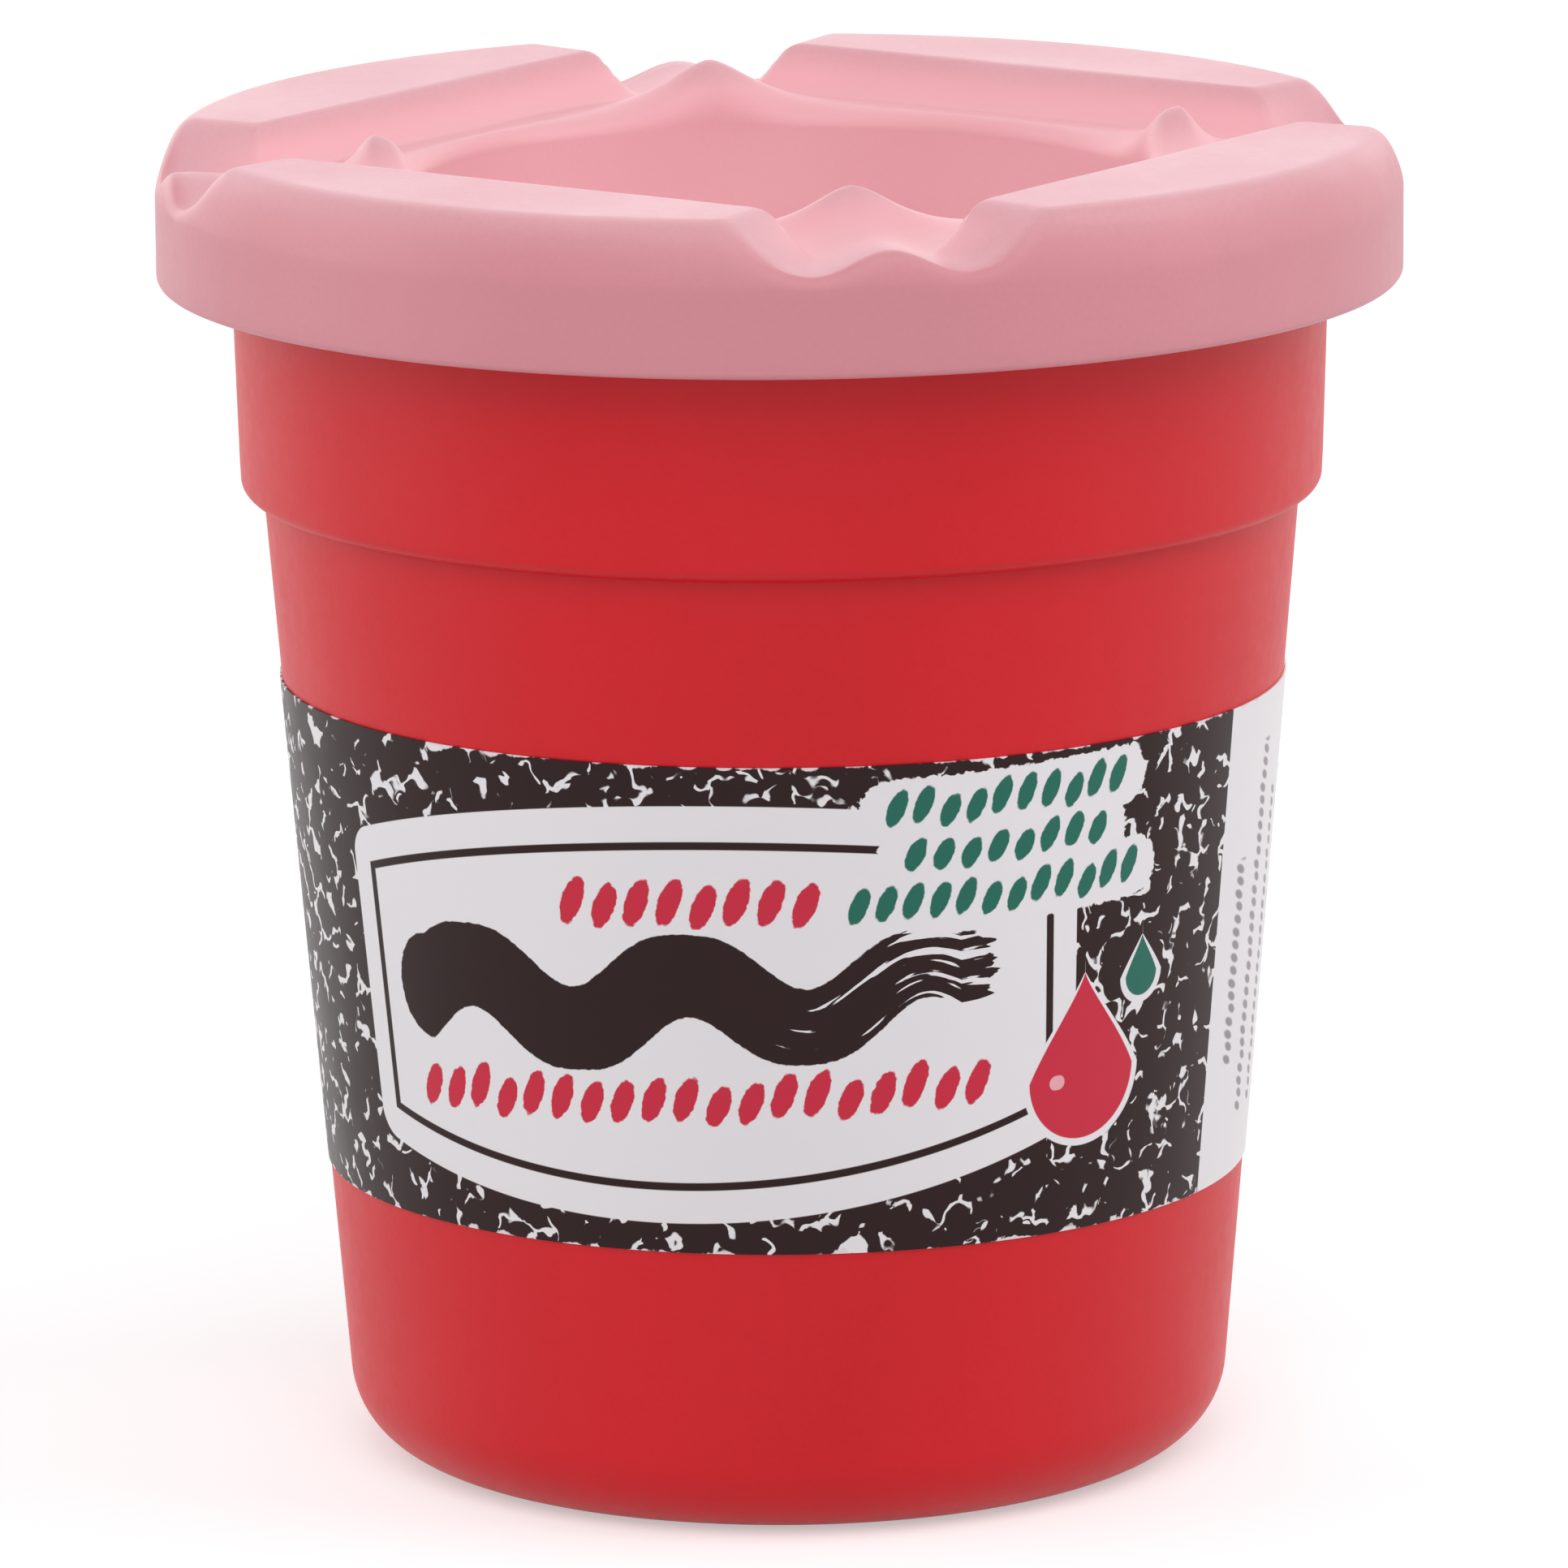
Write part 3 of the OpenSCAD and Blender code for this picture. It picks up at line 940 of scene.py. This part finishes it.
# %% Draw a brush stroke
def brush_stroke(x, y, left, right, middle, swing, waves, thickness):
    """One sweep of a flat brush, which waves and runs dry towards the right."""
    held = x.within(left, right)
    pace = 2 * math.pi * waves / (right - left)
    phase = (held - left) * pace
    steep = phase.do("COSINE") * (swing * pace)
    leaning = (steep * steep + 1).do("SQRT")
    beside = (y - middle - phase.do("SINE") * swing) / leaning
    wet = (right - held) / (right - left)
    half = thickness / 2 * (0.80 + 0.20 * (wet * 2).least(1))
    drawn_out = x.tree.nodes.new("ShaderNodeCombineXYZ")
    plug(x.tree, x / 11, drawn_out.inputs["X"])
    plug(x.tree, beside, drawn_out.inputs["Y"])
    bristles = noise(Field(x.tree, drawn_out.outputs[0]), 0.55, detail=2, flat=True)
    ragged_end = length_of(beside, x - held + (bristles - 0.5) * (3.2 * (1 - wet))) - half
    dry = (bristles - 0.54 - 0.55 * wet) * 3
    return ragged_end.most(dry)


print("marks: brush stroke, drawn out 11 to 1 along its bristles")


# %% Draw a row of dabs
def dab_row(x, y, left, right, middle, pitch, tall):
    """A row of leaning brush dabs, each a little different."""
    index = ((x - left) / pitch).do("FLOOR")
    chance = x.tree.nodes.new("ShaderNodeTexWhiteNoise")
    chance.noise_dimensions = "1D"
    plug(x.tree, index + middle, chance.inputs["W"])
    luck = Field(x.tree, chance.outputs["Value"])
    sideways = x - left - (index + 0.5) * pitch
    upwards = y - middle - (luck - 0.5) * (0.25 * tall)
    lean = 0.34
    long_r = tall / 2 * (0.86 + 0.14 * luck)
    wide_r = pitch * 0.35
    a = (sideways - upwards * lean) / wide_r
    b = upwards / long_r
    dab = (length_of(a, b) - 1) * wide_r
    outside = (left - x).most(x - right)
    return dab.most(outside)


print("marks: dab row")

# %% [markdown]
# ### The white plate
# The plate's ends are upright, and its upper and lower edges are shallow arcs. An arc this
# shallow is nearly a parabola, which is one product and one sum. The border is the same outline,
# drawn again a little further in and kept only where it is a line's width deep.


# %% Shape the plate
plate_half, plate_corner = 24.3, 1.4
plate_top, top_bow = 13.1, 0.0057
plate_foot, foot_bow = -12.85, 0.0068
border_half, border_line = 22.65, 0.5
border_top_gap, border_foot_gap = 2.2, 2.05


def plate_edges(x, y):
    """Distances below zero inside the white plate, and inside its border line."""
    side = x.do("ABSOLUTE") - plate_half
    above = y - (plate_top - top_bow * (x * x))
    below = (plate_foot + foot_bow * (x * x)) - y
    ends = above.most(below)
    plate = length_of((side + plate_corner).most(0), (ends + plate_corner).most(0)) - plate_corner
    border_edge = (x.do("ABSOLUTE") - border_half).most(above + border_top_gap)
    border_edge = border_edge.most(below + border_foot_gap)
    border = border_edge.most(-border_line - border_edge)
    return plate, border


print(f"plate: {2 * plate_half:.1f} mm wide, {plate_top - plate_foot:.1f} mm high")

# %% [markdown]
# ### Colour over colour
# A printer lays one ink after another, and a mark that comes later covers what is below it. The
# cells below work in that order. The whole print leans a little, as hand-fed film does.

# %% Mix the inks
paper = (0.86, 0.83, 0.85, 1)
black_ink = (0.020, 0.005, 0.005, 1)
red_ink = (0.62, 0.028, 0.060, 1)
green_ink = (0.018, 0.150, 0.105, 1)
grey_ink = (0.30, 0.27, 0.30, 1)
shine_pink = (0.86, 0.42, 0.46, 1)
worn_film = (0.80, 0.74, 0.76, 1)
print("inks: black, red, green and grey on white")

# %% Lay down the dabs and the stroke
backing_bars = ((12.5, 27.5, 12.2), (13.5, 26.0, 9.3), (10.0, 28.5, 6.4))
bar_radius = 1.9
green_rows = ((12.0, 28.0, 12.2, 1.6, 2.3), (13.0, 26.6, 9.3, 1.7, 2.1),
              (9.6, 29.0, 6.4, 1.62, 2.3))
red_rows = ((-7.7, 8.3, 6.9, 2.0, 3.0), (-19.5, 18.5, -5.2, 2.0, 2.9))


def lay_marks(colour, x, y, rough):
    """White bars under green dabs, two rows of red dabs, and one black sweep."""
    backing = any_of([capsule(x, y, *bar, bar_radius) for bar in backing_bars])
    green = any_of([dab_row(x, y, *row) for row in green_rows])
    red = any_of([dab_row(x, y, *row) for row in red_rows])
    sweep = brush_stroke(x, y, -18.0, 16.5, 0.9, 1.7, 2.4, 5.2)
    for mark, share, ink in ((backing, 1.0, paper), (green, 0.3, green_ink),
                             (red, 0.4, red_ink), (sweep, 0.3, black_ink)):
        colour = blend((mark + rough * share).inside(), colour, ink)
    return colour


print(f"dabs: {len(green_rows)} green rows and {len(red_rows)} red rows")


# %% Lay down the drops
def lay_drops(colour, x, y):
    """A red drop and a green one, with a white rim round both and a shine on the red one."""
    red_drop = drop(x, y, 25.0, -6.0, 4.0, 6.4)
    green_drop = drop(x, y, 29.6, -0.6, 1.35, 2.5)
    shine = capsule(x, y, 22.9, 23.1, -6.2, 0.45)
    white_rim = 0.45
    for mark, ink in ((any_of([red_drop, green_drop]) - white_rim, paper), (red_drop, red_ink),
                      (green_drop, green_ink), (shine, shine_pink)):
        colour = blend(mark.inside(), colour, ink)
    return colour


print("drops: one red, one green")

# %% Fill the side panel and wear the edges
panel_from, panel_to = 37.5, 72
grey_columns = ((40.6, -7.4, 5.6), (43.8, -11, 12.5), (47.0, -11, 9), (50.2, -11, 11.4),
                (53.4, -11, 6), (56.6, -11, 12), (59.8, -11, 3.2))


def lay_panel(colour, across, up):
    """A white panel with upright columns of tiny grey dabs."""
    panel = (panel_from - across).most(across - panel_to)
    colour = blend(panel.inside(), colour, paper)
    dabs = any_of([dab_row(up, place - across, low, high, 0, 0.8, 1.3)
                   for place, low, high in grey_columns])
    return blend(dabs.inside(0.08), colour, grey_ink)


def wear_edges(colour, place, height):
    """Small nicks along the label's two edges, where the ink has come off the film."""
    edge = (height - label_bottom).least(label_top - height)
    nick = edge - 0.09 - (noise(place, 1.6, detail=3, flat=True) - 0.62) * 1.6
    return blend(nick.inside(0.06), colour, worn_film)


print(f"panel: {panel_to - panel_from} mm wide, {len(grey_columns)} columns of dabs")

# %% Print the film
print_lean = 0.04
plate_middle = 33.0


def printed_film():
    """The whole label: its colours in printing order, a satin sheen and a soft ripple."""
    material, tree, shader = new_material("label_print")
    uv = tree.nodes.new("ShaderNodeUVMap")
    uv.uv_map = "LabelMap"
    place = Field(tree, uv.outputs["UV"])
    across, height, _ = parts(place)
    up = height - plate_middle
    x = across + up * print_lean
    y = up - across * print_lean
    rough = (noise(place, 0.5, detail=2, flat=True) - 0.5) * 0.5

    plate, border = plate_edges(x, y)
    colour = blend(marbling(place), black_ink, paper)
    colour = blend(plate.inside(), colour, paper)
    colour = blend(border.inside(), colour, black_ink)
    colour = lay_marks(colour, x, y, rough)
    colour = lay_drops(colour, x, y)
    colour = lay_panel(colour, across, up)
    colour = wear_edges(colour, place, height)
    tree.links.new(colour.socket, shader.inputs["Base Color"])

    smear = noise(place, 6, detail=3, flat=True)
    sheen = (smear - 0.5) * 0.12 + 0.36
    tree.links.new(sheen.socket, shader.inputs["Roughness"])
    shader.inputs["Specular IOR Level"].default_value = 0.2
    ripple = noise(place, 3.5, detail=1, flat=True) + noise(place, 0.25, flat=True) * 0.12
    tree.links.new(bump(ripple, 0.02).socket, shader.inputs["Normal"])
    print(f"label print: {len(tree.nodes)} shader nodes")
    return material


# %% Dress the sleeve
label = make_piece("wrap_label", sleeve_points, sleeve_faces, printed_film(), 40)
flat_map(label, label_columns, len(around), label_angles, label_heights)
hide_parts("label")
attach(label, "cup")

# %% [markdown]
# ## Floor and light
# A product picture like this is lit by big soft boxes in a white room. An even world is the room
# and fills the shadows. The boxes stand all round: the front and upper front ones light the side
# and the funnel, those on the left and right model the roundness, and the ones at the back lay
# a low gloss on the tops. Each is given by its level, the brightness of its face, so a box can
# grow or shrink without a change of gloss. Rays from the camera and from shiny surfaces see the
# room as pure white, so the background is white with no extra light on the cup, and the floor
# keeps a faint shadow.


# %% Fill the room with light
def seen_directly(tree):
    """1 for rays from the camera, and for those that a gloss or clear surface sends on."""
    path = tree.nodes.new("ShaderNodeLightPath")
    rays = [Field(tree, path.outputs[f"Is {kind} Ray"])
            for kind in ("Camera", "Glossy", "Transmission")]
    return rays[0].most(rays[1]).most(rays[2])


room_level = 0.3
world = bpy.data.worlds.new("white_room")
world.use_nodes = True
bpy.context.scene.world = world
backdrop = world.node_tree.nodes["Background"]
backdrop.inputs["Color"].default_value = (1, 1, 1, 1)
level = seen_directly(world.node_tree) * (1 - room_level) + room_level
world.node_tree.links.new(level.socket, backdrop.inputs["Strength"])
print(f"room: level {room_level} on the cup, 1 where it is seen")


# %% Place the soft boxes
def soft_box(name, place, width, height, level):
    """An area lamp turned towards the cup, in millimetres; at level 1 its face is plain white."""
    lamp = bpy.data.lights.new(name, "AREA")
    lamp.shape = "RECTANGLE"
    lamp.size, lamp.size_y = width * MM, height * MM
    lamp.energy = level * math.pi * lamp.size * lamp.size_y
    box = bpy.data.objects.new(name, lamp)
    box.location = Vector(place) * MM
    box.rotation_euler = (Vector((0, 0, 45)) - Vector(place)).to_track_quat("-Z", "Y").to_euler()
    bpy.context.scene.collection.objects.link(box)
    print(f"{name}: {width} x {height} mm, {lamp.energy:.1f} W")


soft_box("front", (0, -1050, 450), 600, 600, 1.05)
soft_box("left", (-1000, -100, 300), 700, 700, 1.55)
soft_box("right", (1000, -100, 300), 700, 700, 1.05)
soft_box("upper_front", (0, -700, 800), 700, 700, 2.0)
soft_box("upper_left", (-700, -100, 700), 600, 600, 0.7)
soft_box("upper_right", (700, -100, 700), 600, 600, 2.0)
soft_box("upper_back", (0, 700, 700), 700, 700, 0.5)
soft_box("back_left", (-750, 750, 350), 700, 700, 1.4)
soft_box("back_right", (750, 750, 350), 700, 700, 0.5)
soft_box("white_wall", (0, 1500, 350), 2000, 600, 0.8)


# %% [markdown]
# ### The floor
# The cup stands on a pale matte sheet that runs out of sight, so there is no horizon. Its own
# colour is a light grey, and a glow that only the camera and shiny surfaces see lifts it to
# white. Where the cup keeps the light off, the grey is darker, so the shadow stays.


# %% Lay the floor
def floor_material():
    material, tree, shader = new_material("floor_white")
    shader.inputs["Base Color"].default_value = (0.70, 0.70, 0.71, 1)
    shader.inputs["Roughness"].default_value = 0.9
    shader.inputs["Specular IOR Level"].default_value = 0.1
    shader.inputs["Emission Color"].default_value = (1, 1, 1, 1)
    tree.links.new((seen_directly(tree) * 0.44).socket, shader.inputs["Emission Strength"])
    return material


floor_half = 4000
corners = [(-floor_half, -floor_half, 0), (floor_half, -floor_half, 0),
           (floor_half, floor_half, 0), (-floor_half, floor_half, 0)]
floor = make_piece("floor", corners, [(0, 1, 2, 3)], floor_material(), 30)
floor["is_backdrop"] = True

# %% [markdown]
# ## The two boxes
# The looks mustn't change the object's size. The box of the frame and the box of the dressed
# model are written side by side.

# %% Print the boxes and finish
dressed_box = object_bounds()
for name, low, high in (("cad", *cad_box), ("visual", *dressed_box)):
    print(name, "mm:", [round((h - l) / MM, 2) for l, h in zip(low, high)])
